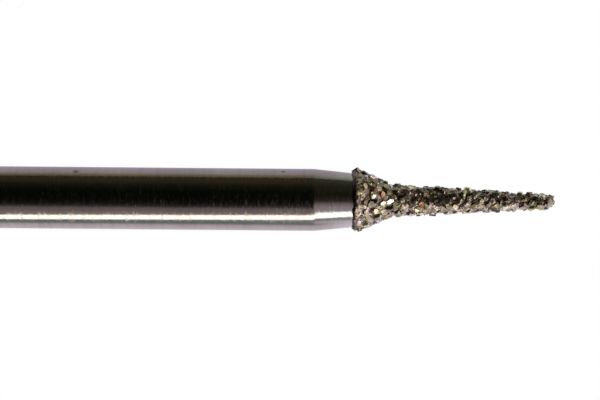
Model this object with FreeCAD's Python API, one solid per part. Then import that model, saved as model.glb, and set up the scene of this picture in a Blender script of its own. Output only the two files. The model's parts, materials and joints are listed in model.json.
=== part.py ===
"""Dental bur: a turned steel blank whose cone and needle carry one plated layer of diamond grit.

Units are millimetres. The bur lies along X with its tip towards +X, and the origin is the centre of
the shank's flat rear end. The blank is one solid of revolution. The coating is one solid too: a
nickel bond of even thickness over the blank's working end, with a single layer of crystals standing
half out of it, which is what makes the bur's rough outline and the step behind its cone.
"""

import FreeCAD
import Part

import math
import os
import random

# Shank: the plain cylinder that the handpiece grips, with a lead-in at its rear end
shank_diameter = 1.60
shank_length = 12.80
lead_in_length = 0.30
lead_in_depth = 0.14

# Neck: a slight taper from the shank down to where the coating starts
neck_length = 1.00
neck_diameter = 1.40

# Working end of the blank, under the coating: a short land, a cone, then a long needle
land_length = 0.08
cone_length = 0.90
needle_root_diameter = 0.62
needle_length = 4.04
tip_diameter = 0.15

# Nickel bond. Between the crystals its outside is flats around the axis, not a true round: they
# leave it less even than the blank, as plating is, and each crystal meets it in straight edges.
bond_thickness = 0.07
bond_flats = 16
bond_tip_rings = 3

# Diamond crystals, in rows around the bond. Spread and stretch are shares of their size, and
# wander is a share of the pitch from each one to the next.
crystal_size = 0.190
crystal_size_spread = 0.18
crystal_stretch = 0.22
crystal_sink = 0.010
crystal_pitch = 0.205
crystal_wander = 0.10
octahedron_share = 0.60
grit_seed = 7

axis = FreeCAD.Vector(1, 0, 0)


def main():
    os.makedirs("parts", exist_ok=True)
    blank = steel_blank()
    coating = diamond_coating(blank)
    blank.exportStep("parts/steel_blank.step")
    coating.exportStep("parts/diamond_coating.step")
    for name, solid in (("steel_blank", blank), ("diamond_coating", coating)):
        box = solid.BoundBox
        print(name, "valid" if solid.isValid() else "NOT VALID", len(solid.Faces), "faces")
        print("  length", round(box.XLength, 3), "across", round(box.YLength, 3), round(box.ZLength, 3))


class WorkingEnd:
    """The outline of land, cone, needle and ball tip, for a layer of a given thickness on the blank.

    A thickness of 0 gives the blank's own surface. Each straight stretch moves out along its own
    normal, neighbouring stretches meet where their lines cross, and the needle's side stays tangent
    to the ball. Every point is (x, 0, radius).
    """

    def __init__(self, thickness):
        neck_radius = neck_diameter / 2
        root_radius = needle_root_diameter / 2
        tip_radius = tip_diameter / 2
        start = shank_length + neck_length
        cone_start = start + land_length
        needle_start = cone_start + cone_length

        cone_angle = math.atan2(neck_radius - root_radius, cone_length)
        root_to_ball = math.hypot(needle_length, root_radius)
        fall_to_centre = math.atan2(root_radius, needle_length)
        self.needle_angle = fall_to_centre - math.asin(tip_radius / root_to_ball)

        land = (start, neck_radius + thickness, 0)
        cone = (cone_start, neck_radius + thickness / math.cos(cone_angle), cone_angle)
        needle = (needle_start, root_radius + thickness / math.cos(self.needle_angle), self.needle_angle)

        self.ball_radius = tip_radius + thickness
        self.ball_centre = needle_start + needle_length
        self.rear = FreeCAD.Vector(start, 0, land[1])
        self.shoulder = crossing(land, cone)
        self.root = crossing(cone, needle)
        self.end = FreeCAD.Vector(self.ball_centre + self.ball_radius, 0, 0)

    def on_ball(self, share):
        """A point on the ball, from 0 where the needle touches it to 1 at the very tip."""
        angle = self.needle_angle + share * (math.pi / 2 - self.needle_angle)
        reach = FreeCAD.Vector(math.sin(angle), 0, math.cos(angle)) * self.ball_radius
        return FreeCAD.Vector(self.ball_centre, 0, 0) + reach

    def edges(self):
        """The outline from its rear edge to the tip, as three lines and the ball's arc."""
        corners = [self.rear, self.shoulder, self.root, self.on_ball(0)]
        return lines_through(corners) + [Part.Arc(self.on_ball(0), self.on_ball(0.5), self.end).toShape()]

    def rings(self):
        """Where the bond's rings of corners lie: at each bend, then in even steps over the ball."""
        over_ball = [self.on_ball(ring / bond_tip_rings) for ring in range(bond_tip_rings)]
        return [self.rear, self.shoulder, self.root] + over_ball


def crossing(first, second):
    """Where two lines meet, each given by x and radius of a point on it and its fall towards the tip."""
    x1, radius1, fall1 = first
    x2, radius2, fall2 = second
    slope1 = -math.tan(fall1)
    slope2 = -math.tan(fall2)
    x = (radius2 - radius1 + slope1 * x1 - slope2 * x2) / (slope1 - slope2)
    return FreeCAD.Vector(x, 0, radius1 + slope1 * (x - x1))


def lines_through(points):
    """Straight edges from each point to the next."""
    return [Part.LineSegment(a, b).toShape() for a, b in zip(points, points[1:])]


def closed_solid(polygons):
    """The solid inside a closed set of flat polygons."""
    faces = [Part.Face(Part.makePolygon(points + points[:1])) for points in polygons]
    solid = Part.makeSolid(Part.makeShell(faces))
    if solid.Volume < 0:
        solid.reverse()
    return solid


def steel_blank():
    """Shank, neck, cone and needle, turned from one bar."""
    shank_radius = shank_diameter / 2
    working_end = WorkingEnd(0)
    rear_centre = FreeCAD.Vector(0, 0, 0)
    outline = lines_through([
        rear_centre,
        FreeCAD.Vector(0, 0, shank_radius - lead_in_depth),
        FreeCAD.Vector(lead_in_length, 0, shank_radius),
        FreeCAD.Vector(shank_length, 0, shank_radius),
        working_end.rear,
    ])
    outline += working_end.edges()
    outline += lines_through([working_end.end, rear_centre])
    return Part.Face(Part.Wire(outline)).revolve(rear_centre, axis, 360)


def nickel_bond(surface):
    """The plated layer before its crystals, solid through to the axis, with its outside in flats."""
    # The corners stand out and the middles of the flats lie in, so that on average it is round.
    corner_reach = 1 / math.sqrt(math.cos(math.pi / bond_flats))
    rings = []
    for place in surface.rings():
        corner = FreeCAD.Vector(place.x, 0, place.z * corner_reach)
        turns = [FreeCAD.Rotation(axis, 360 * flat / bond_flats) for flat in range(bond_flats)]
        rings.append([turn.multVec(corner) for turn in turns])
    flats = [
        [ring[i], ring[i - 1], ahead[i - 1], ahead[i]]
        for ring, ahead in zip(rings, rings[1:])
        for i in range(bond_flats)
    ]
    return closed_solid([rings[0], *flats, rings[-1]])


def octahedron_faces(corner):
    """Eight triangles between six points, one out along each axis both ways."""
    return [
        [corner(sx, 0, 0), corner(0, sy, 0), corner(0, 0, sz)]
        for sx in (-1, 1) for sy in (-1, 1) for sz in (-1, 1)
    ]


def cuboctahedron_faces(corner):
    """A cube with its corners cut off: eight triangles, and six squares."""
    half = 1 / math.sqrt(2)

    def edge_middle(x, y, z):
        return corner(x * half, y * half, z * half)

    triangles = [
        [edge_middle(sx, sy, 0), edge_middle(0, sy, sz), edge_middle(sx, 0, sz)]
        for sx in (-1, 1) for sy in (-1, 1) for sz in (-1, 1)
    ]
    round_the_square = ((1, 0), (0, 1), (-1, 0), (0, -1))
    squares = []
    for s in (-1, 1):
        squares.append([edge_middle(s, a, b) for a, b in round_the_square])
        squares.append([edge_middle(a, s, b) for a, b in round_the_square])
        squares.append([edge_middle(a, b, s) for a, b in round_the_square])
    return triangles + squares


def crystal(centre, chance):
    """One crystal, of either habit that diamond grit has, stretched and turned at random."""
    radius = crystal_size / 2 * (1 + chance.uniform(-crystal_size_spread, crystal_size_spread))
    reach = [radius * (1 + chance.uniform(-crystal_stretch, crystal_stretch)) for _ in range(3)]
    tumble = FreeCAD.Vector(chance.gauss(0, 1), chance.gauss(0, 1), chance.gauss(0, 1))
    turn = FreeCAD.Rotation(tumble, chance.uniform(0, 360))
    faces = octahedron_faces if chance.random() < octahedron_share else cuboctahedron_faces

    def corner(x, y, z):
        return centre + turn.multVec(FreeCAD.Vector(x * reach[0], y * reach[1], z * reach[2]))

    return closed_solid(faces(corner))


def grit(surface):
    """The layer of crystals: rows around the bond, each row a little further towards the tip."""
    chance = random.Random(grit_seed)
    edges = surface.edges()
    length = sum(edge.Length for edge in edges)
    # Rows of a close-packed layer lie this much closer than crystals in one row do.
    rows = max(1, round(length / (crystal_pitch * math.sqrt(3) / 2)))
    crystals = []
    for row in range(rows):
        point, outward = point_on(edges, (row + 0.5) * length / rows)
        towards_tip = FreeCAD.Vector(outward.z, 0, -outward.x)
        in_row = max(1, int(2 * math.pi * point.z / crystal_pitch))
        phase = chance.random()
        for place in range(in_row):
            slip = chance.uniform(-crystal_wander, crystal_wander)
            drift = chance.uniform(-crystal_wander, crystal_wander) * crystal_pitch
            centre = point + towards_tip * drift - outward * crystal_sink
            around = FreeCAD.Rotation(axis, 360 * (place + phase + slip) / in_row)
            crystals.append(crystal(around.multVec(centre), chance))
    return crystals


def point_on(edges, along):
    """The point at a length along a chain of edges, and the outward normal there."""
    for edge in edges:
        if along <= edge.Length:
            break
        along -= edge.Length
    parameter = edge.getParameterByLength(min(along, edge.Length))
    tangent = edge.tangentAt(parameter)
    return edge.valueAt(parameter), FreeCAD.Vector(-tangent.z, 0, tangent.x)


def diamond_coating(blank):
    """The bond and its crystals as the one layer that plating makes, hollow where the blank is."""
    surface = WorkingEnd(bond_thickness)
    return nickel_bond(surface).multiFuse(grit(surface)).cut(blank).Solids[0]


main()
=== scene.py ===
# %% [markdown]
# A dental bur, dressed for its photograph.
#
# The object is a friction-grip diamond bur, 19 mm long: a bright steel shank, a short neck, and a cone and
# needle that are plated with diamond crystals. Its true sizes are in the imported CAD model, which this script
# loads as a fixed frame. Here each piece gets the surface that the eye sees: a finely ground blank, a rough
# nickel bond, and several hundred separate crystals. Every length is in millimetres until a mesh is made.

# %% Load the frame
import itertools
import json
import math

import bpy
import numpy as np
from mathutils import Euler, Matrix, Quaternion, Vector


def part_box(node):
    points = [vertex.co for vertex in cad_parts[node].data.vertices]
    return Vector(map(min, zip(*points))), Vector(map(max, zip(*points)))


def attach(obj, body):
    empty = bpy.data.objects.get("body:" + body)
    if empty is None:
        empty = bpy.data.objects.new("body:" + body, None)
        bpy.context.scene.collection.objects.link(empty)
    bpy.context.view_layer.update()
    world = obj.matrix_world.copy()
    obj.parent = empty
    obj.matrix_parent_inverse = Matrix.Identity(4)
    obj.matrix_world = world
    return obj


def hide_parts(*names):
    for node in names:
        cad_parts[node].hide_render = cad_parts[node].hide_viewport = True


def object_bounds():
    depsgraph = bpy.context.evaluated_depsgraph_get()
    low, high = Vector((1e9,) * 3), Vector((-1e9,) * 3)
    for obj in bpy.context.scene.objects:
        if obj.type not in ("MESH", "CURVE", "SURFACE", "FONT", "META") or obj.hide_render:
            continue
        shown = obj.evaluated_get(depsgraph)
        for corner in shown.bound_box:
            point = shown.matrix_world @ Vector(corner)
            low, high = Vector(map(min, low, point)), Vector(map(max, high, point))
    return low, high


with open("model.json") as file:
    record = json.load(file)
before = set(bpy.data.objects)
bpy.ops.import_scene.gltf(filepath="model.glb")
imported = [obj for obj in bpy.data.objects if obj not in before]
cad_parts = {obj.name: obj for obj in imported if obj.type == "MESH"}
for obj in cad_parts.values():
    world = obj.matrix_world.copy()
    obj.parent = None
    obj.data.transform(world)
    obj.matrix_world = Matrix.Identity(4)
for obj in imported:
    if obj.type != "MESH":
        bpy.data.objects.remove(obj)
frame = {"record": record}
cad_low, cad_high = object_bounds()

mm = 0.001
print("CAD box in mm:", [round(v / mm, 3) for v in (*cad_low, *cad_high)])

# %% [markdown]
# Sizes. What the frame can say is asked of it: the mount "shank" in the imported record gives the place,
# length and radius of the shank's grip, and the blank's box says where the blank ends. The sizes that lie
# inside that box, such as the radius where the needle begins, are written here as they are in the CAD
# source.

# %% Sizes from the frame, and the working end's own
mounts = {mount["name"]: mount for mount in frame["record"]["mounts"]}
grip_length = mounts["shank"]["dims"]["length_mm"]
grip_middle = mounts["shank"]["pos_m"][0] / mm
shank_radius = mounts["shank"]["dims"]["r_mm"]
grip_start = grip_middle - grip_length / 2
shank_end = grip_middle + grip_length / 2
lead_in_depth = 0.14

neck_length = 1.00
neck_radius = 0.70
land_length = 0.08
cone_length = 0.90
needle_root_radius = 0.31
needle_length = 4.04
tip_radius = 0.075
bond_thickness = 0.07

coat_start = shank_end + neck_length
blank_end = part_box("steel_blank")[1].x / mm
print("grip from", grip_start, "to", shank_end, "coat from", coat_start, "blank ends at", round(blank_end, 3))

# %% [markdown]
# The outline of the working end. Land, cone and needle are straight stretches, and the tip is a ball that
# the needle's side is tangent to. A layer of even thickness has an outline of the same kind, in which each
# stretch has moved out along its own normal. So one function gives the blank's own surface (thickness 0),
# the nickel's surface and the surface that the crystals are set out on.

# %% The working end's outline for a layer of a given thickness


def crossing(first, second):
    """Where two lines meet. Each is x and radius of a point on it, and its fall angle towards the tip."""
    x1, r1, fall1 = first
    x2, r2, fall2 = second
    slope1, slope2 = -math.tan(fall1), -math.tan(fall2)
    x = (r2 - r1 + slope1 * x1 - slope2 * x2) / (slope1 - slope2)
    return x, r1 + slope1 * (x - x1)


def working_end(thickness, ball_steps=12):
    """Corner points (x, radius) of land, cone, needle and ball, from the rear edge to the very tip."""
    cone_start = coat_start + land_length
    needle_start = cone_start + cone_length
    cone_fall = math.atan2(neck_radius - needle_root_radius, cone_length)
    reach = math.hypot(needle_length, needle_root_radius)
    needle_fall = math.atan2(needle_root_radius, needle_length) - math.asin(tip_radius / reach)
    land = (coat_start, neck_radius + thickness, 0.0)
    cone = (cone_start, neck_radius + thickness / math.cos(cone_fall), cone_fall)
    needle = (needle_start, needle_root_radius + thickness / math.cos(needle_fall), needle_fall)
    ball_x = needle_start + needle_length
    ball_radius = tip_radius + thickness
    turn = np.linspace(needle_fall, math.pi / 2, ball_steps)
    ball = np.stack([ball_x + ball_radius * np.sin(turn), ball_radius * np.cos(turn)], axis=1)
    ball[-1, 1] = 0.0
    corners = np.array([(coat_start, land[1]), crossing(land, cone), crossing(cone, needle)])
    return np.concatenate([corners, ball])


def along(outline, distance):
    """Points of an outline at the given distances from its start, and its unit normals there."""
    steps = np.diff(outline, axis=0)
    lengths = np.hypot(steps[:, 0], steps[:, 1])
    reached = np.concatenate([[0.0], np.cumsum(lengths)])
    place = np.stack([np.interp(distance, reached, outline[:, i]) for i in (0, 1)], axis=-1)
    step = np.clip(np.searchsorted(reached, distance, side="right") - 1, 0, len(steps) - 1)
    tangent = steps[step] / lengths[step][..., None]
    normal = np.stack([-tangent[..., 1], tangent[..., 0]], axis=-1)
    return place, normal


def outline_length(outline):
    """The sum of the lengths of the outline's straight steps."""
    return float(np.hypot(*np.diff(outline, axis=0).T).sum())


bare_outline = working_end(0.0)
print("working end:", round(outline_length(bare_outline), 3), "mm, tip at", round(bare_outline[-1, 0], 3))

# %% [markdown]
# A turned piece is a surface of revolution: P(u, v) = (x(u), r(u) cos v, r(u) sin v). The profile gives x
# and r, and v goes once around. The rows of the grid are circles, and a row of radius nought is one point,
# so the two ends close in a fan of triangles with no hole and no doubled points. The same routine takes a
# grid that has been roughened, because it only needs the points.

# %% Grids into meshes


def add_mesh(name, points, faces, smooth=True):
    """A mesh object from points in mm and lists of point numbers. Its object stays at the origin."""
    mesh = bpy.data.meshes.new(name)
    mesh.from_pydata((points * mm).tolist(), [], faces)
    mesh.update()
    mesh.polygons.foreach_set("use_smooth", np.full(len(mesh.polygons), smooth))
    piece = bpy.data.objects.new(name, mesh)
    bpy.context.scene.collection.objects.link(piece)
    return piece


def closed_round(rows):
    """Points and faces of a surface around the X axis, closed at both ends by a single point.

    rows is an array (circles, points around, 3). The first and last rows are poles, of which one point each
    is used. Between two circles the faces are the quads (i, j), (i, j + 1), (i + 1, j + 1), (i + 1, j).
    """
    circles, around, _ = rows.shape
    points = np.concatenate([rows[0, :1], rows[1:-1].reshape(-1, 3), rows[-1, :1]])
    ring = 1 + np.arange((circles - 2) * around).reshape(circles - 2, around)
    after = np.roll(ring, -1, axis=1)
    quads = np.stack([ring[:-1], ring[1:], after[1:], after[:-1]], axis=-1).reshape(-1, 4)
    last = len(points) - 1
    start_fan = np.stack([np.zeros(around, int), ring[0], after[0]], axis=-1)
    end_fan = np.stack([np.full(around, last), after[-1], ring[-1]], axis=-1)
    return points, start_fan.tolist() + quads.tolist() + end_fan.tolist()


def turned(profile, around):
    """Grid of points of the profile's surface of revolution: x stays, and the radius turns about X."""
    angle = np.linspace(0, 2 * math.pi, around, endpoint=False)
    x = np.broadcast_to(profile[:, :1], (len(profile), around))
    return np.stack([x, profile[:, 1:] * np.cos(angle), profile[:, 1:] * np.sin(angle)], axis=-1)


# %% [markdown]
# The blank is turned and then ground between centres, so its edges are not knife-sharp: the lead-in, the
# edge where the shank turns into the neck and the cone's two bends each carry a tiny radius. A profile that
# has rounded corners does this better than a Bevel modifier, because it keeps the circles exact. Each corner
# is replaced by a short quadratic curve, B(t) = (1 - t)^2 A + 2 t (1 - t) C + t^2 D, from A on one side of
# corner C to D on the other.

# %% The steel blank


def rounded(corners, radius, steps=6, most_of_side=0.4):
    """The polyline through the corners, with each inner corner eased over at most the given length.

    Where a side is short, the curve takes no more than its share of that side.
    """
    points = [corners[0]]
    t = np.linspace(0, 1, steps)[:, None]
    for before, corner, after in zip(corners, corners[1:], corners[2:]):
        back, ahead = before - corner, after - corner
        reach = min(radius, most_of_side * np.hypot(*back), most_of_side * np.hypot(*ahead))
        a = corner + back / np.hypot(*back) * reach
        d = corner + ahead / np.hypot(*ahead) * reach
        points.extend((1 - t) ** 2 * a + 2 * t * (1 - t) * corner + t ** 2 * d)
    points.append(corners[-1])
    return np.array(points)


edge_round = 0.035
around_blank = 192

shank_corners = np.array([
    (0.0, 0.0),
    (0.0, shank_radius - lead_in_depth),
    (grip_start, shank_radius),
    (shank_end, shank_radius),
])
blank_profile = rounded(np.concatenate([shank_corners, bare_outline]), edge_round)
steel_blank = add_mesh("ground_blank", *closed_round(turned(blank_profile, around_blank)))
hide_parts("steel_blank")
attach(steel_blank, "root")
print("ground blank:", len(steel_blank.data.polygons), "faces")

# %% [markdown]
# The crystals are set out before the nickel, because the nickel climbs a little up the large ones. On the
# real bur they are tumbled onto the blank and stick wherever there is room, which gives an even but
# unordered layer. Random points would leave bare patches and heaps. A sunflower spiral does not: point
# number i takes the i-th equal share of the surface, and turns on from the last by the golden angle. A
# little noise on both hides the spiral. Equal shares come from the area A(s), which is 2 pi times the sum of
# r ds up to s, read backwards. Small crystals fill in between the large ones in a spiral of their own. The
# rear rim of the plating stays bare, so both start a little way in from it.

# %% Where the crystals sit
chance = np.random.default_rng(409)
golden_angle = math.pi * (3 - math.sqrt(5))


def spread_over(outline, start, share, jitter, steps=4000, least_radius=0.05):
    """Places for crystals beyond a start, each with share mm2 of the surface: distances and angles.

    The jitter is the noise as a share of the spacing. Near the tip the radius that turns it into an angle
    is kept from falling to nought.
    """
    fine = np.linspace(start, outline_length(outline), steps)
    radius = along(outline, fine)[0][:, 1]
    area = np.concatenate([[0.0], np.cumsum(2 * math.pi * (radius[1:] + radius[:-1]) / 2 * np.diff(fine))])
    count = int(area[-1] / share)
    wanted = (np.arange(count) + 0.5) * area[-1] / count
    step = math.sqrt(share)
    distance = np.interp(wanted, area, fine) + chance.normal(0, jitter * step, count)
    distance = np.clip(distance, start, fine[-1])
    place_radius = np.maximum(along(outline, distance)[0][:, 1], least_radius)
    angle = np.arange(count) * golden_angle + chance.normal(0, jitter * step, count) / place_radius
    return distance, angle


def on_surface(outline, distance, angle, lift):
    """Points lifted off the outline's surface of revolution, and the outward normals there.

    Each is the outline's point plus the lift times its normal, turned about X by the angle.
    """
    place, normal = along(outline, distance)
    x = place[:, 0] + normal[:, 0] * lift
    r = place[:, 1] + normal[:, 1] * lift
    spot = np.stack([x, r * np.cos(angle), r * np.sin(angle)], axis=-1)
    outward = np.stack([normal[:, 0], normal[:, 1] * np.cos(angle), normal[:, 1] * np.sin(angle)], axis=-1)
    return spot, outward


def facing(turn_deg, lean_deg):
    """Unit directions by their turn about the axis from straight up, and their lean towards the tip."""
    turn, lean = np.broadcast_arrays(np.radians(turn_deg), np.radians(lean_deg))
    return np.stack([np.sin(lean), -np.cos(lean) * np.sin(turn), np.cos(lean) * np.cos(turn)], axis=-1)


large_size = 0.206
large_share = 0.0400
large_start = 0.105
large_jitter = 0.17
large_sink = 0.014
small_size = 0.105
small_share = 0.0500
small_start = 0.070
small_jitter = 0.30
small_sink = 0.004

bond_outline = working_end(bond_thickness)
large_distance, large_angle = spread_over(bond_outline, large_start, large_share, large_jitter)
small_distance, small_angle = spread_over(bond_outline, small_start, small_share, small_jitter)
large_spot, large_out = on_surface(bond_outline, large_distance, large_angle, -large_sink)
small_spot, small_out = on_surface(bond_outline, small_distance, small_angle, -small_sink)
print("places for", len(large_spot), "large crystals and", len(small_spot), "small ones")

# %% [markdown]
# A few crystals stand out in the photograph, such as three white flashes on the cone, the dark places beside
# them and two rust-brown grains. These are placed one by one, and a large crystal whose place is too near to
# one of them is left out. Its random numbers are drawn all the same, so moving a single crystal changes no
# other. Angles are in degrees. A turn is about the axis from straight up, positive towards the near side,
# and a lean is towards the tip.

# %% Crystals that are placed one by one
single = np.array([
    # x, turn, the outer face's turn and lean, slant in that face, length, width, habit, tint, nickel
    # three white flashes
    (14.29, -10.0, 3.0, 22.0, 35.0, 0.25, 0.15, 1, 0.94, 0.9),
    (14.54, 7.5, 6.0, 22.0, 20.0, 0.26, 0.13, 1, 0.94, 0.9),
    (14.72, 3.5, 3.0, 23.0, 22.0, 0.33, 0.18, 1, 0.99, 0.9),
    # two dark ones beside them: dark partly because they face the dark room, and partly from their black tint,
    # a painted shade
    (14.34, 2.0, 0.0, -6.0, 0.0, 0.22, 0.16, 2, 0.00, 0.4),
    (14.72, 27.0, 0.0, -6.0, 0.0, 0.32, 0.14, 2, 0.00, 0.4),
    # two rust-brown ones
    (14.53, -17.0, -5.0, 25.0, 0.0, 0.15, 0.22, 2, 0.43, 0.3),
    (14.28, -27.0, -16.0, 4.0, 0.0, 0.15, 0.22, 2, 0.43, 0.5),
    # one near the tip, and one that stands out sideways at the cone's wide end
    (18.85, 10.0, -8.0, 31.0, 0.0, 0.24, 0.14, 2, 0.30, 0.6),
    (13.99, 92.0, 88.0, 15.0, 0.0, 0.21, 0.21, 2, 0.66, 0.5),
])
single_x, single_turn, face_turn, face_lean, face_slant, single_length, single_width = single[:, :7].T
single_clearance = 0.13

single_radius = np.interp(single_x, bond_outline[:, 0], bond_outline[:, 1])
single_spot = facing(single_turn, 0.0) * single_radius[:, None] + single_x[:, None] * (1, 0, 0)
room_left = np.linalg.norm(large_spot[:, None] - single_spot, axis=-1).min(1) > single_clearance
print("single crystals:", len(single_spot), "and large ones that keep their places:", room_left.sum())

# %% [markdown]
# Crystals. Diamond grit is grown, so most grains are blocky, and some are broken. Three habits cover what
# shows: the octahedron, the octahedron with its corners cut off, and the cube with its corners cut off. Each
# is stored standing on one of its largest faces, which for the first two is the one square to (1, 1, 1).
# Each grain takes one, stretched by a random amount along three axes, turned and slightly knocked about, so
# that no two are alike. All grains of one habit are one array: base points times size, times a turn, plus
# the place. The habit -1 stands for a grain that is left out.

# %% Three crystal habits


def hull_faces(points, flatness=1e-6):
    """Faces of the convex hull of a few points, flat ones kept whole, wound outwards.

    Three points span a face if no other point lies in front of their plane, and all that lie in it belong.
    """
    planes = {}
    for a, b, c in itertools.permutations(range(len(points)), 3):
        normal = np.cross(points[b] - points[a], points[c] - points[a])
        size = np.linalg.norm(normal)
        if size < flatness:
            continue
        side = (points - points[a]) @ (normal / size)
        if side.max() < flatness:
            planes[tuple(np.flatnonzero(side > -flatness))] = normal / size
    faces = []
    for members, normal in planes.items():
        members = np.array(members)
        middle = points[members].mean(0)
        across = points[members[0]] - middle
        across /= np.linalg.norm(across)
        up = np.cross(normal, across)
        turn = np.arctan2((points[members] - middle) @ up, (points[members] - middle) @ across)
        faces.append(members[np.argsort(turn)])
    return faces


def all_signs_and_orders(base):
    """Every point with the base's three coordinates in any order and with any signs."""
    orders = ((0, 1, 2), (1, 2, 0), (2, 0, 1), (0, 2, 1), (2, 1, 0), (1, 0, 2))
    signs = np.array(np.meshgrid((-1, 1), (-1, 1), (-1, 1))).reshape(3, -1).T
    points = np.concatenate([signs * np.array(base)[list(order)] for order in orders])
    points = np.unique(np.round(points, 6), axis=0)
    return points / np.linalg.norm(points, axis=1).max()


def standing(points, direction):
    """The points turned so that the given direction points up along Z."""
    return points @ np.array(Vector(direction).rotation_difference(Vector((0, 0, 1))).to_matrix()).T


octahedron = standing(all_signs_and_orders((1.0, 0.0, 0.0)), (1, 1, 1))
cut_octahedron = standing(all_signs_and_orders((1.0, 0.42, 0.0)), (1, 1, 1))
cut_cube = all_signs_and_orders((1.0, 1.0, 0.35))
habits = [(shape, hull_faces(shape)) for shape in (octahedron, cut_octahedron, cut_cube)]
most_points = max(len(shape) for shape, _ in habits)
no_grain = -1
print("habits:", [(len(shape), "points", len(faces), "faces") for shape, faces in habits])

# %% [markdown]
# A random turn is best drawn as a unit quaternion with four normal numbers, because every attitude is then
# equally likely. Not every grain is tumbled, though: most settle with a face nearly flat on the blank, and
# so turn the opposite face outwards. So the coating as a whole still mirrors the room as the blank would,
# dark on top and bright on the near side, and only breaks it into grains. The turn of such a grain has the
# surface normal as its third column, spun and tilted a little at random. The knocks move each point by a few
# percent, which leaves faces that are not quite flat, so they are cut into triangles: those tiny kinks are
# what makes a broken grain glitter unevenly.

# %% Grains as arrays


def random_turns(count):
    """Rotation matrices (count, 3, 3) from unit quaternions drawn evenly."""
    q = chance.normal(size=(count, 4))
    w, x, y, z = (q / np.linalg.norm(q, axis=1, keepdims=True)).T
    return np.stack([
        1 - 2 * (y * y + z * z), 2 * (x * y - z * w), 2 * (x * z + y * w),
        2 * (x * y + z * w), 1 - 2 * (x * x + z * z), 2 * (y * z - x * w),
        2 * (x * z - y * w), 2 * (y * z + x * w), 1 - 2 * (x * x + y * y),
    ], axis=-1).reshape(count, 3, 3)


def flat_turns(up, across):
    """Rotation matrices whose third column points up as given, and whose second is square to across."""
    up = up / np.linalg.norm(up, axis=1, keepdims=True)
    side = np.cross(up, across)
    side /= np.linalg.norm(side, axis=1, keepdims=True)
    return np.stack([np.cross(side, up), side, up], axis=-1)


def settled_turns(outward, flat_share, tilt=0.10):
    """Turns of crystals of which the given share lie nearly flat on the surface and the rest are tumbled."""
    count = len(outward)
    flat = flat_turns(outward + chance.normal(0, tilt, (count, 3)), chance.normal(size=(count, 3)))
    lies_flat = chance.uniform(0, 1, count) < flat_share
    return np.where(lies_flat[:, None, None], flat, random_turns(count))


def random_sizes(count, size, spread, stretch):
    """Three sizes per crystal: their mean varies by the spread, and each of them by the stretch."""
    mean = size * (1 + chance.uniform(-spread, spread, (count, 1)))
    return mean * (1 + chance.uniform(-stretch, stretch, (count, 3)))


def grains(spots, turns, sizes, habit, own_marks, knock):
    """Points, faces and, per face, its grain's tint and nickel, for crystals at the spots.

    Point k of a grain is its place plus its turn times (1 + knock) times half its size times base point k.
    """
    knocks = chance.normal(0, knock, (len(spots), most_points, 1))
    points, faces, marks, start = [], [], [], 0
    for number, (shape, shape_faces) in enumerate(habits):
        here = habit == number
        count = here.sum()
        knocked = shape * (1 + knocks[here, :len(shape)]) * sizes[here, None] / 2
        points.append((np.einsum("nij,nkj->nki", turns[here], knocked) + spots[here, None]).reshape(-1, 3))
        fans = np.array([(face[0], b, c) for face in shape_faces for b, c in zip(face[1:], face[2:])])
        numbers = start + np.arange(count)[:, None, None] * len(shape) + fans
        faces += numbers.reshape(-1, 3).tolist()
        marks.append(np.repeat(own_marks[here], len(fans), axis=0))
        start += count * len(shape)
    return np.concatenate(points), faces, np.concatenate(marks)


def add_grains(name, *described):
    """A piece of many crystals, with each one's tint and nickel stored on its faces for the material."""
    points, faces, marks = grains(*described)
    piece = add_mesh(name, points, faces, smooth=False)
    for number, mark in enumerate(("tint", "nickel")):
        values = piece.data.attributes.new(mark, "FLOAT", "FACE")
        values.data.foreach_set("value", marks[:, number].astype(np.float32))
    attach(piece, "root")
    print(name, len(faces), "triangles")
    return piece


def any_habit(count):
    """A habit's number for each crystal, drawn with the three habits' shares."""
    return chance.choice(len(habits), count, p=(0.30, 0.35, 0.35))


def any_marks(count):
    """A tint and a nickel for each crystal, both drawn evenly between 0 and 1."""
    return chance.uniform(0, 1, (count, 2))


# %% Three pieces of crystals
large_count, small_count = len(large_spot), len(small_spot)
large_grains = add_grains(
    "large_crystals", large_spot, settled_turns(large_out, flat_share=0.86),
    random_sizes(large_count, large_size, spread=0.24, stretch=0.22),
    np.where(room_left, any_habit(large_count), no_grain), any_marks(large_count), 0.04)
small_grains = add_grains(
    "small_crystals", small_spot, settled_turns(small_out, flat_share=0.60),
    random_sizes(small_count, small_size, spread=0.30, stretch=0.25),
    any_habit(small_count), any_marks(small_count), 0.08)

slant = np.radians(face_slant)
along_face = np.stack([np.cos(slant), np.sin(slant), 0 * slant], axis=-1)
single_turns = flat_turns(facing(face_turn, face_lean), along_face)
single_sizes = np.stack([single_length, single_width, np.full(len(single), large_size)], axis=-1)
single_habits, single_marks = single[:, 7], single[:, 8:]
single_grains = add_grains(
    "single_crystals", single_spot, single_turns, single_sizes, single_habits, single_marks, 0.05)

# %% [markdown]
# The nickel bond is plated from a bath, so it follows the blank but is never smooth: it is lumpy, and it
# climbs up every large crystal that it holds. A Displace modifier with a texture could roughen it, but it
# cannot know where the crystals are. Here the grid is a function of s along the outline and v around, and
# the surface moves outwards by h(s, v) = lumps + c exp(-(d / w)^2), where d is the distance to the nearest
# crystal. The lumps are a sum of plane waves cos(k . p + phase) with random directions, which has no seam
# and no pole. At the rear rim the plating thins out in a round edge, so h falls there by a small parabola,
# and the rim itself wanders a little along the neck.

# %% The nickel bond


def lumps(points, wavelength, waves=48):
    """A smooth random number per point, mostly from -1 to 1: a sum of plane waves in random directions."""
    directions = chance.normal(size=(waves, 3))
    directions *= 2 * math.pi / wavelength / np.linalg.norm(directions, axis=1, keepdims=True)
    phases = chance.uniform(0, 2 * math.pi, waves)
    return np.cos(points @ directions.T + phases).sum(-1) / math.sqrt(waves)


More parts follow.
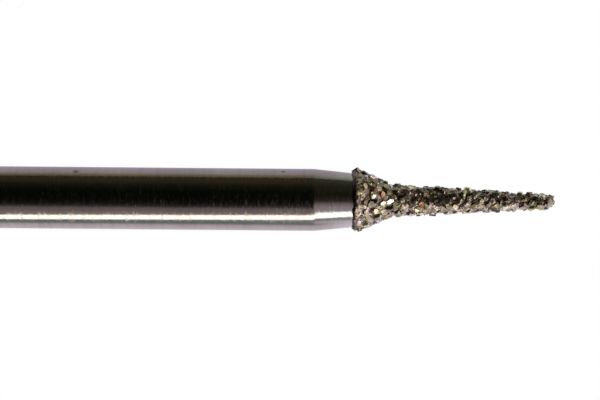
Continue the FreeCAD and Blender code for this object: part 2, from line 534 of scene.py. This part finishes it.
def nearness(rows, centres, width):
    """exp(-(d / width)^2) for the distance d from each grid point to the nearest centre, row by row.

    Centres more than four widths away along X would add nothing, so they are passed over.
    """
    result = np.empty(rows.shape[:2])
    for number, row in enumerate(rows):
        near = centres[np.abs(centres[:, 0] - row[0, 0]) < 4 * width]
        if len(near) == 0:
            result[number] = 0.0
            continue
        square = ((row[:, None] - near[None]) ** 2).sum(-1).min(1)
        result[number] = np.exp(-square / width ** 2)
    return result


around_bond = 240
bond_step = 0.018
climb = 0.030
climb_width = 0.085
lump_height = 0.008
lump_length = 0.16
fine_lump_length = 0.06
fine_lump_share = 0.6
tip_ease = 0.03
rim_width = 0.055
rim_drop = 0.040
rim_wander = 0.012
rim_wander_length = 0.35
sunk_into_blank = 0.002

bond_distance = np.linspace(0, outline_length(bond_outline), int(outline_length(bond_outline) / bond_step))
outside, outside_normal = along(bond_outline, bond_distance)
outside[-1, 1] = 0.0
outside_rows = turned(outside, around_bond)
normal_rows = turned(outside_normal, around_bond)
held = np.concatenate([large_spot[room_left], single_spot])
rise = climb * nearness(outside_rows, held, climb_width)
lumpiness = lumps(outside_rows, lump_length)
lumpiness += fine_lump_share * lumps(outside_rows, fine_lump_length)
rise += lump_height * lumpiness
ease_at_tip = np.minimum(1, outside[:, 1] / tip_ease)[:, None]
rim = rim_drop * np.maximum(0, 1 - bond_distance / rim_width)[:, None] ** 2
outside_rows = outside_rows + normal_rows * (rise * ease_at_tip - rim)[..., None]
near_rim = np.exp(-bond_distance / rim_width)[:, None]
outside_rows[..., 0] -= rim_wander * near_rim * (1 + lumps(outside_rows, rim_wander_length))

inside = working_end(-sunk_into_blank)[::-1]
bond_rows = np.concatenate([turned(inside, around_bond), outside_rows])
nickel_bond = add_mesh("nickel_bond", *closed_round(bond_rows))
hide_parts("diamond_coating")
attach(nickel_bond, "root")
print("nickel bond:", len(nickel_bond.data.polygons), "faces")

# %% [markdown]
# Materials are node trees on Object coordinates, which here are metres along and across the bur, so a
# pattern stays put on the piece from any side. Small helpers keep each material's own cell to the nodes that
# matter.

# %% Helpers for node trees


def new_material(name):
    """A material with its node tree and its Principled shader."""
    material = bpy.data.materials.new(name)
    material.use_nodes = True
    return material, material.node_tree, material.node_tree.nodes["Principled BSDF"]


def node(tree, kind, **settings):
    """A new node of a kind, with its own settings such as an operation or a blend type."""
    made = tree.nodes.new(kind)
    for name, value in settings.items():
        setattr(made, name, value)
    return made


def feed(tree, source, target):
    """A link from a node's output to another node's input."""
    tree.links.new(source, target)


def stretched_noise(tree, across_mm, detail=3.0, rough=0.6):
    """Noise on Object coordinates whose grains have the given sizes in mm along X, Y and Z."""
    place = node(tree, "ShaderNodeTexCoord")
    mapping = node(tree, "ShaderNodeMapping")
    mapping.inputs["Scale"].default_value = [1 / (size * mm) for size in across_mm]
    noise = node(tree, "ShaderNodeTexNoise")
    noise.inputs["Scale"].default_value = 1.0
    noise.inputs["Detail"].default_value = detail
    noise.inputs["Roughness"].default_value = rough
    feed(tree, place.outputs["Object"], mapping.inputs["Vector"])
    feed(tree, mapping.outputs["Vector"], noise.inputs["Vector"])
    return noise.outputs["Fac"]


def ramp(tree, value, stops):
    """A colour ramp through stops of (position, (r, g, b))."""
    made = node(tree, "ShaderNodeValToRGB")
    elements = made.color_ramp.elements
    while len(elements) < len(stops):
        elements.new(0.5)
    for element, (position, colour) in zip(elements, stops):
        element.position = position
        element.color = (*colour, 1.0)
    feed(tree, value, made.inputs["Fac"])
    return made.outputs["Color"]


def to_range(tree, value, low, high, from_low=0.0, from_high=1.0):
    """The value carried over evenly from one range to another, and held at the ends."""
    made = node(tree, "ShaderNodeMapRange")
    for name, number in (("From Min", from_low), ("From Max", from_high), ("To Min", low), ("To Max", high)):
        made.inputs[name].default_value = number
    feed(tree, value, made.inputs["Value"])
    return made.outputs["Result"]


def arithmetic(tree, operation, first, second):
    """A Math node on two values, each of which is an output or a plain number."""
    made = node(tree, "ShaderNodeMath", operation=operation)
    for number, value in enumerate((first, second)):
        if isinstance(value, float):
            made.inputs[number].default_value = value
        else:
            feed(tree, value, made.inputs[number])
    return made.outputs["Value"]


def along_axis(tree, axis, start_mm, end_mm):
    """0 up to one place along X, Y or Z and 1 beyond another."""
    place = node(tree, "ShaderNodeTexCoord")
    split = node(tree, "ShaderNodeSeparateXYZ")
    feed(tree, place.outputs["Object"], split.inputs["Vector"])
    return to_range(tree, split.outputs[axis], 0.0, 1.0, start_mm * mm, end_mm * mm)


def spot(tree, x_mm, turn_deg, out_mm, radius_mm):
    """1 at one point of a round surface, fading to 0 at a small radius from it."""
    turn = math.radians(turn_deg)
    place = node(tree, "ShaderNodeTexCoord")
    away = node(tree, "ShaderNodeVectorMath", operation="DISTANCE")
    away.inputs[1].default_value = Vector((x_mm, -out_mm * math.sin(turn), out_mm * math.cos(turn))) * mm
    feed(tree, place.outputs["Object"], away.inputs[0])
    return to_range(tree, away.outputs["Value"], 1.0, 0.0, 0.4 * radius_mm * mm, radius_mm * mm)


def mixed(tree, blend, amount, first, second):
    """Two colours blended. The amount is an output or a number, each colour an output or four numbers."""
    made = node(tree, "ShaderNodeMix", data_type="RGBA", blend_type=blend)
    for name, value in (("Factor", amount), ("A", first), ("B", second)):
        if isinstance(value, (float, tuple)):
            made.inputs[name].default_value = value
        else:
            feed(tree, value, made.inputs[name])
    return made.outputs["Result"]


def bump(tree, height, distance_mm, strength, shader, under=None):
    """A Bump node on a height, over another bump if one is given, and into the shader if there is one."""
    made = node(tree, "ShaderNodeBump")
    made.inputs["Distance"].default_value = distance_mm * mm
    made.inputs["Strength"].default_value = strength
    feed(tree, height, made.inputs["Height"])
    if under is not None:
        feed(tree, under, made.inputs["Normal"])
    if shader is not None:
        feed(tree, made.outputs["Normal"], shader.inputs["Normal"])
    return made.outputs["Normal"]


# %% [markdown]
# Ground steel. The wheel leaves rings around the shank, far finer than the eye can part, which smear a
# reflection along the shank but keep it sharp across it. That is why the lamp stands as one clean white
# line. So the main bump is noise that is a hundredth of a millimetre long in X and hardly changes around. A
# rounder noise is the scatter of specks that handling leaves: a speck is duller than the steel around it, so
# it shows as a pale dot where the steel mirrors the dark. A third noise makes streaks around the shank that
# are duller and browner, and a fourth makes whole lengths of it a shade lighter or darker. Two small nicks
# sit on the far side of the shank. They have no dent, only a darker spot in the colour, which is a painted
# shade.

# %% Ground steel
steel_tones = ((0.30, (0.37, 0.35, 0.35)), (0.70, (0.42, 0.40, 0.40)))
brown_streak = (0.68, 0.60, 0.53, 1.0)
painted_nick_shade = (0.25, 0.22, 0.22, 1.0)
nick_strength = 0.8
nicks = ((6.714, -57.0, 0.090), (12.005, -64.0, 0.075))  # x, turn and size of each

steel, tree, shader = new_material("ground_steel")
fine_rings = stretched_noise(tree, (0.012, 4.0, 4.0), detail=4.0, rough=0.7)
streaks = stretched_noise(tree, (0.110, 1.4, 1.4), detail=3.0, rough=0.6)
wide_rings = stretched_noise(tree, (0.90, 3.0, 3.0), detail=2.0, rough=0.5)
specks = stretched_noise(tree, (0.055, 0.160, 0.160), detail=3.0, rough=0.6)

polish = to_range(tree, specks, 0.09, 0.245, 0.48, 0.72)
polish = arithmetic(tree, "ADD", polish, to_range(tree, streaks, 0.0, 0.08, 0.45, 0.70))
feed(tree, polish, shader.inputs["Roughness"])

metal = ramp(tree, wide_rings, steel_tones)
streaked = to_range(tree, streaks, 0.0, 0.35, 0.40, 0.80)
metal = mixed(tree, "MULTIPLY", streaked, metal, brown_streak)
# each nick is a painted shade: a darker spot in the steel's colour, with no dent in the surface
for nick_x, nick_turn, nick_size in nicks:
    nick = spot(tree, nick_x, nick_turn, shank_radius, nick_size)
    metal = mixed(tree, "MULTIPLY", arithmetic(tree, "MULTIPLY", nick, nick_strength), metal, painted_nick_shade)
feed(tree, metal, shader.inputs["Base Color"])

shader.inputs["Metallic"].default_value = 1.0
speck_normal = bump(tree, specks, 0.0040, 0.60, None)
streak_normal = bump(tree, streaks, 0.0012, 0.25, None, speck_normal)
bump(tree, fine_rings, 0.0008, 0.5, shader, streak_normal)
steel_blank.data.materials.append(steel)
print(steel.name, "has", len(tree.nodes), "nodes")

# %% [markdown]
# Plating and grit share a thin film that is left from the bath and from use. It lies in clouds a quarter of
# a millimetre wide, some darker and browner, some paler, some yellow-green and some violet. Both materials
# read the same two noises in Object coordinates, so a cloud runs on from the nickel over the crystals that
# it holds.

# %% Clouds of film
cloud_tones = ((0.36, (0.475, 0.452, 0.420)), (0.64, (1.24, 1.185, 1.11)))
cloud_casts = ((0.38, (0.985, 1.015, 0.82)), (0.50, (1.00, 1.00, 0.98)), (0.62, (1.04, 0.965, 1.08)))


def clouded(tree, colour):
    """A colour under the film: one cloud makes it darker or paler, the other yellow-green or violet."""
    tone = ramp(tree, stretched_noise(tree, (0.20, 0.20, 0.20), detail=1.0), cloud_tones)
    cast = ramp(tree, stretched_noise(tree, (0.27, 0.27, 0.27), detail=1.0), cloud_casts)
    return mixed(tree, "MULTIPLY", 1.0, mixed(tree, "MULTIPLY", 1.0, colour, tone), cast)


# %% [markdown]
# Nickel bond. Plated nickel over crystals is matt and blotchy, with a warm grey cast. Its bare rear rim
# carries a painted shade, nearly black, where the plating's edge meets the neck: a thin line around the neck
# that is much fainter on the far side.

# %% Nickel
nickel_tones = ((0.35, (0.20, 0.178, 0.150)), (0.65, (0.40, 0.370, 0.335)))
painted_rim_shade = (0.020, 0.014, 0.020, 1.0)

nickel, tree, shader = new_material("rough_nickel")
blotch = stretched_noise(tree, (0.10, 0.10, 0.10), detail=4.0, rough=0.65)
grain = stretched_noise(tree, (0.035, 0.035, 0.035), detail=2.0, rough=0.6)
plated = clouded(tree, ramp(tree, blotch, nickel_tones))
# painted shade: a near-black line at the rear rim, where the plating's edge meets the neck, fainter on the far
# side
past_rim = along_axis(tree, "X", coat_start + 0.030, coat_start + 0.075)
far_side = arithmetic(tree, "MULTIPLY", along_axis(tree, "Y", 0.15, 0.60), 0.7)
unshaded = arithmetic(tree, "MAXIMUM", past_rim, far_side)
feed(tree, mixed(tree, "MIX", unshaded, painted_rim_shade, plated), shader.inputs["Base Color"])
feed(tree, to_range(tree, grain, 0.25, 0.50), shader.inputs["Roughness"])
shader.inputs["Metallic"].default_value = 1.0
bump(tree, grain, 0.004, 0.35, shader)
nickel_bond.data.materials.append(nickel)
print(nickel.name, "has", len(tree.nodes), "nodes")

# %% [markdown]
# Diamond. A clear crystal model would be slow and noisy for grains of six pixels, and the real ones look
# anything but clear: they are yellow-grey, filmed with nickel, and glitter only where a face mirrors a lamp.
# So each grain mirrors almost as a tinted metal does, and what is left of it is a body with diamond's own
# refractive index of 2.42. Two numbers were stored on its faces. The tint picks its colour, from dark grey
# through brown, olive, rust and violet grey to straw and pale grey. The nickel says how far the plating has
# crept over it, and makes it still more of a metal. The crystals that are placed one by one are cleaner,
# with fewer smudges and no clouds, so they have a material of their own from the same function.

# %% Diamond
grain_tones = (
    (0.00, (0.150, 0.145, 0.135)),
    (0.14, (0.290, 0.245, 0.200)),
    (0.28, (0.310, 0.340, 0.270)),
    (0.41, (0.400, 0.335, 0.280)),
    (0.43, (0.480, 0.280, 0.180)),
    (0.45, (0.430, 0.370, 0.320)),
    (0.60, (0.530, 0.485, 0.440)),
    (0.72, (0.540, 0.495, 0.520)),
    (0.84, (0.650, 0.610, 0.560)),
    (0.92, (0.690, 0.710, 0.580)),
    (1.00, (0.820, 0.800, 0.780)),
)
smudge_shade = (0.42, 0.36, 0.28, 1.0)


def grain_material(name, dirt, filmed):
    """Grains in the tones of their tint, with smudges of a given strength, under the film's clouds or not."""
    material, tree, shader = new_material(name)
    tint = node(tree, "ShaderNodeAttribute", attribute_name="tint")
    plating = node(tree, "ShaderNodeAttribute", attribute_name="nickel")
    smudge = stretched_noise(tree, (0.12, 0.12, 0.12), detail=3.0, rough=0.6)
    smudged = to_range(tree, smudge, 0.0, dirt, 0.40, 0.68)
    body = mixed(tree, "MULTIPLY", smudged, ramp(tree, tint.outputs["Fac"], grain_tones), smudge_shade)
    feed(tree, clouded(tree, body) if filmed else body, shader.inputs["Base Color"])
    feed(tree, to_range(tree, smudge, 0.20, 0.42, 0.35, 0.65), shader.inputs["Roughness"])
    feed(tree, to_range(tree, plating.outputs["Fac"], 0.88, 1.0, 0.15, 0.75), shader.inputs["Metallic"])
    shader.inputs["IOR"].default_value = 2.42
    bump(tree, smudge, 0.006, 0.4, shader)
    print(name, "has", len(tree.nodes), "nodes")
    return material


diamond = grain_material("diamond_grain", dirt=0.75, filmed=True)
clean_diamond = grain_material("clean_diamond", dirt=0.25, filmed=False)
large_grains.data.materials.append(diamond)
small_grains.data.materials.append(diamond)
single_grains.data.materials.append(clean_diamond)

# %% [markdown]
# The camera looks straight down on the bur, which lies on a white sheet, and a long lens keeps its sides
# parallel. The photograph is 600 pixels wide. The scale that the shank's width gives and the place of the
# tip in the frame fix where the camera stands, so nothing is set by eye. The bur slopes down a little to the
# right in the frame, so the camera is rolled by as much.

# %% Camera
picture_width, picture_height = 600, 400
pixels_per_mm = 38.75
tip_pixel_x = 554.5
axis_pixel_y = 199.8
slope_down_deg = 0.50
lens_mm = 100.0
sensor_mm = 36.0

height = picture_width * lens_mm / (sensor_mm * pixels_per_mm)
roll = math.radians(slope_down_deg)
centre_x = cad_high.x / mm - (tip_pixel_x - picture_width / 2) / pixels_per_mm
centre_y = (axis_pixel_y - picture_height / 2) / pixels_per_mm
camera_data = bpy.data.cameras.new("camera")
camera_data.lens = lens_mm
camera_data.sensor_width = sensor_mm
camera_data.clip_start = 1 * mm
camera = bpy.data.objects.new("camera", camera_data)
camera.location = (centre_x * mm, centre_y * mm, height * mm)
camera.rotation_euler = Euler((0, 0, roll))
bpy.context.scene.collection.objects.link(camera)
bpy.context.scene.camera = camera
print("camera", round(height, 2), "mm above the axis, over x =", round(centre_x, 2))

# %% [markdown]
# The sheet. In the photograph it is burnt out to white, while the metal still mirrors it as a grey that
# darkens away from the bur. So the camera sees the sheet as white, and every other ray sees painted light and
# shade on it: it glows in fixed tones that stand in for how it is lit. Close to the bur it is bright, a few
# millimetres off it is grey, and farther off on the near side it turns greenish. Beside the head, which would
# take less of its light away, it is painted brighter than beside the shank. These tones are two colour ramps
# across the bur, one for the shank and one for the head. Only right under the bur, where little of the sky
# reaches the sheet, does the white give way to a soft painted shadow, read from an ambient occlusion node.
# The sheet lies just under the bur's lowest crystal.

# %% The sheet
sheet_half = 3000.0
sheet_gap = 0.001
shade_reach = 12.0
sky_reach = 4.0
shank_tones_end = 13.3
head_tones_start = 14.6

sheet_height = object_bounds()[0].z / mm - sheet_gap
sheet_corners = np.array([(-1, -1), (1, -1), (1, 1), (-1, 1)]) * sheet_half
sheet = add_mesh("white_sheet", np.c_[sheet_corners, np.full(4, sheet_height)], [(0, 1, 2, 3)])
paper, tree, shader = new_material("white_paper")
tree.nodes.remove(shader)
output = tree.nodes["Material Output"]
place = node(tree, "ShaderNodeTexCoord")
split = node(tree, "ShaderNodeSeparateXYZ")
feed(tree, place.outputs["Object"], split.inputs["Vector"])
# Across is 0 at the shade's reach on the near side, 0.5 under the bur's axis and 1 as far off on the far side
across = to_range(tree, split.outputs["Y"], 0, 1, -shade_reach * mm, shade_reach * mm)
# painted light and shade on the sheet: glowing tones that the bur mirrors and is lit by
painted_beside_shank = ramp(tree, across, (
    (0.000, (0.24, 0.34, 0.31)),
    (0.200, (0.27, 0.33, 0.32)),
    (0.267, (0.40, 0.38, 0.40)),
    (0.356, (0.82, 0.73, 0.76)),
    (0.396, (0.95, 0.85, 0.89)),
    (0.440, (0.90, 0.80, 0.85)),
    (0.550, (0.55, 0.50, 0.60)),
    (0.590, (0.57, 0.51, 0.58)),
    (0.654, (0.54, 0.48, 0.48)),
    (0.820, (0.34, 0.29, 0.25)),
    (1.000, (0.26, 0.22, 0.15)),
))
painted_beside_head = ramp(tree, across, (
    (0.000, (0.90, 0.84, 0.90)),
    (0.300, (1.22, 1.22, 1.30)),
    (0.396, (1.50, 1.46, 1.68)),
    (0.440, (1.50, 1.46, 1.72)),
    (0.540, (0.80, 0.88, 0.88)),
    (0.660, (0.66, 0.74, 0.66)),
    (0.820, (0.44, 0.50, 0.42)),
    (1.000, (0.32, 0.36, 0.28)),
))
at_head = to_range(tree, split.outputs["X"], 0.0, 1.0, shank_tones_end * mm, head_tones_start * mm)
painted_light = node(tree, "ShaderNodeEmission")
feed(tree, mixed(tree, "MIX", at_head, painted_beside_shank, painted_beside_head), painted_light.inputs["Color"])

# %% What the camera sees of the sheet
open_sky = node(tree, "ShaderNodeAmbientOcclusion", samples=12)
open_sky.inputs["Distance"].default_value = sky_reach * mm
burnt_out = node(tree, "ShaderNodeEmission")
# painted shadow under the bur: the camera's white turns grey where the bur hides the sky
under_bur = ramp(tree, open_sky.outputs["AO"], (
    (0.00, (0.16, 0.155, 0.16)),
    (0.22, (0.55, 0.540, 0.55)),
    (0.46, (1.00, 1.000, 1.00)),
))
feed(tree, under_bur, burnt_out.inputs["Color"])
seen = node(tree, "ShaderNodeLightPath")
mix = node(tree, "ShaderNodeMixShader")
feed(tree, seen.outputs["Is Camera Ray"], mix.inputs["Fac"])
feed(tree, painted_light.outputs["Emission"], mix.inputs[1])
feed(tree, burnt_out.outputs["Emission"], mix.inputs[2])
feed(tree, mix.outputs["Shader"], output.inputs["Surface"])
sheet.data.materials.append(paper)
print("the sheet lies at", round(sheet_height, 3), "mm")

# %% [markdown]
# The room above is dark, warm on the far side of the bur and grey above the lamp. It is a colour ramp over
# sin(phi) = -y / sqrt(y^2 + z^2), where phi turns about the bur's axis from straight up (0) to the lamp's
# side (90 degrees). Towards the tip the grey reaches higher, which is why the neck is paler than the shank.
# Two more ramps over the same angle are added there. The haze is the pale foot of the walls on both sides,
# in directions that only the neck and the cone mirror. Past the tip the whole room glows, for the faces that
# lean farthest towards it.

# %% The room
tip_side = (0.04, 0.20)  # the X parts of the directions between which the room changes towards the tip
past_tip_side = (0.42, 0.72)  # and those between which the glow past the tip sets in
grey_reach = (0.04, 0.42)  # how far up the grey reaches, beside the shank and towards the tip

world = bpy.data.worlds.new("room")
bpy.context.scene.world = world
world.use_nodes = True
tree = world.node_tree
background = tree.nodes["Background"]
direction = node(tree, "ShaderNodeTexCoord")
split = node(tree, "ShaderNodeSeparateXYZ")
feed(tree, direction.outputs["Generated"], split.inputs["Vector"])
y, z = split.outputs["Y"], split.outputs["Z"]
reach = arithmetic(tree, "ADD", arithmetic(tree, "MULTIPLY", y, y), arithmetic(tree, "MULTIPLY", z, z))
sine = arithmetic(tree, "DIVIDE", y, arithmetic(tree, "POWER", reach, 0.5))
towards_tip = to_range(tree, split.outputs["X"], *grey_reach, *tip_side)
turned_by = arithmetic(tree, "SUBTRACT", towards_tip, sine)
fraction = to_range(tree, turned_by, 0, 1, -1, 1)
tones = ramp(tree, fraction, (
    (0.000, (0.062, 0.048, 0.023)),
    (0.050, (0.053, 0.044, 0.022)),
    (0.120, (0.017, 0.017, 0.009)),
    (0.270, (0.004, 0.006, 0.004)),
    (0.500, (0.004, 0.0045, 0.003)),
    (0.600, (0.007, 0.007, 0.0050)),
    (0.700, (0.016, 0.016, 0.012)),
    (0.765, (0.057, 0.055, 0.049)),
    (0.830, (0.260, 0.225, 0.230)),
    (0.880, (0.270, 0.225, 0.210)),
    (0.925, (0.400, 0.310, 0.260)),
    (1.000, (0.360, 0.380, 0.340)),
))
haze = to_range(tree, split.outputs["X"], 0.0, 1.0, *tip_side)
tones = mixed(tree, "ADD", haze, tones, ramp(tree, fraction, (
    (0.00, (0.420, 0.390, 0.320)),
    (0.05, (0.320, 0.290, 0.230)),
    (0.08, (0.140, 0.125, 0.095)),
    (0.16, (0.080, 0.072, 0.050)),
    (0.25, (0.034, 0.031, 0.019)),
    (0.50, (0.012, 0.012, 0.006)),
    (0.80, (0.042, 0.028, 0.022)),
    (0.92, (0.200, 0.160, 0.210)),
)))
past_tip = to_range(tree, split.outputs["X"], 0.0, 1.0, *past_tip_side)
tones = mixed(tree, "ADD", past_tip, tones, ramp(tree, fraction, (
    (0.08, (0.66, 0.50, 0.40)),
    (0.40, (0.84, 0.64, 0.53)),
    (0.66, (0.80, 0.70, 0.64)),
)))
seen = node(tree, "ShaderNodeLightPath")
as_seen = mixed(tree, "MIX", seen.outputs["Is Camera Ray"], tones, (1.0, 1.0, 1.0, 1.0))
feed(tree, as_seen, background.inputs["Color"])
print(world.name, "has", len(tree.nodes), "nodes")

# %% [markdown]
# Four lamps. A long strip lies low on the near side and makes the white line along the shank. A dimmer lamp
# beside it, farther towards the tip, is mirrored by the tapering neck and widens the line there. A window
# beyond the tip, on the same side, lights the near half of the cone. A small lamp higher up past the tip is
# mirrored only by faces that lean as the cone does, and makes the white flashes on it.

# %% Lamps
bur_middle = (centre_x, 0.0, 0.0)


def lamp(name, turn_deg, lean_deg, width, depth, slant_deg, radiance, colour, distance=150.0):
    """An area lamp aimed at the bur. turn is phi about the axis, lean is the angle towards the tip.

    Its width is across the bur and its depth along it, before the slant turns it in its own plane.
    """
    away = Vector(facing(turn_deg, lean_deg))
    data = bpy.data.lights.new(name, "AREA")
    data.shape = "RECTANGLE"
    data.size = width * mm
    data.size_y = depth * mm
    data.color = colour
    data.energy = radiance * math.pi * width * depth * mm * mm
    made = bpy.data.objects.new(name, data)
    made.location = Vector(bur_middle) * mm + away * distance * mm
    made.rotation_mode = "QUATERNION"
    made.rotation_quaternion = away.to_track_quat("Z", "X") @ Quaternion((0, 0, 1), math.radians(slant_deg))
    made.visible_camera = False
    bpy.context.scene.collection.objects.link(made)
    print(name, "is", width, "by", depth, "mm")


lamp("strip_lamp", 69.6, 0.0, 45.5, 170.0, 31.0, 2.9, (1.0, 0.94, 0.84))
lamp("side_lamp", 62.5, 19.0, 88.0, 40.0, 15.0, 1.1, (1.0, 0.95, 0.93))
lamp("window_lamp", 68.0, 60.0, 90.0, 80.0, 0.0, 3.2, (1.0, 0.96, 0.93))
lamp("small_lamp", 8.0, 47.0, 30.0, 30.0, 0.0, 5.5, (1.0, 0.98, 0.97))

# %% [markdown]
# Last comes the view transform. The photograph's white is plainly clipped, so
# Standard is nearer to it than a transform that rolls the highlights off.

# %% Colours as the sensor sees them
bpy.context.scene.view_settings.view_transform = "Standard"
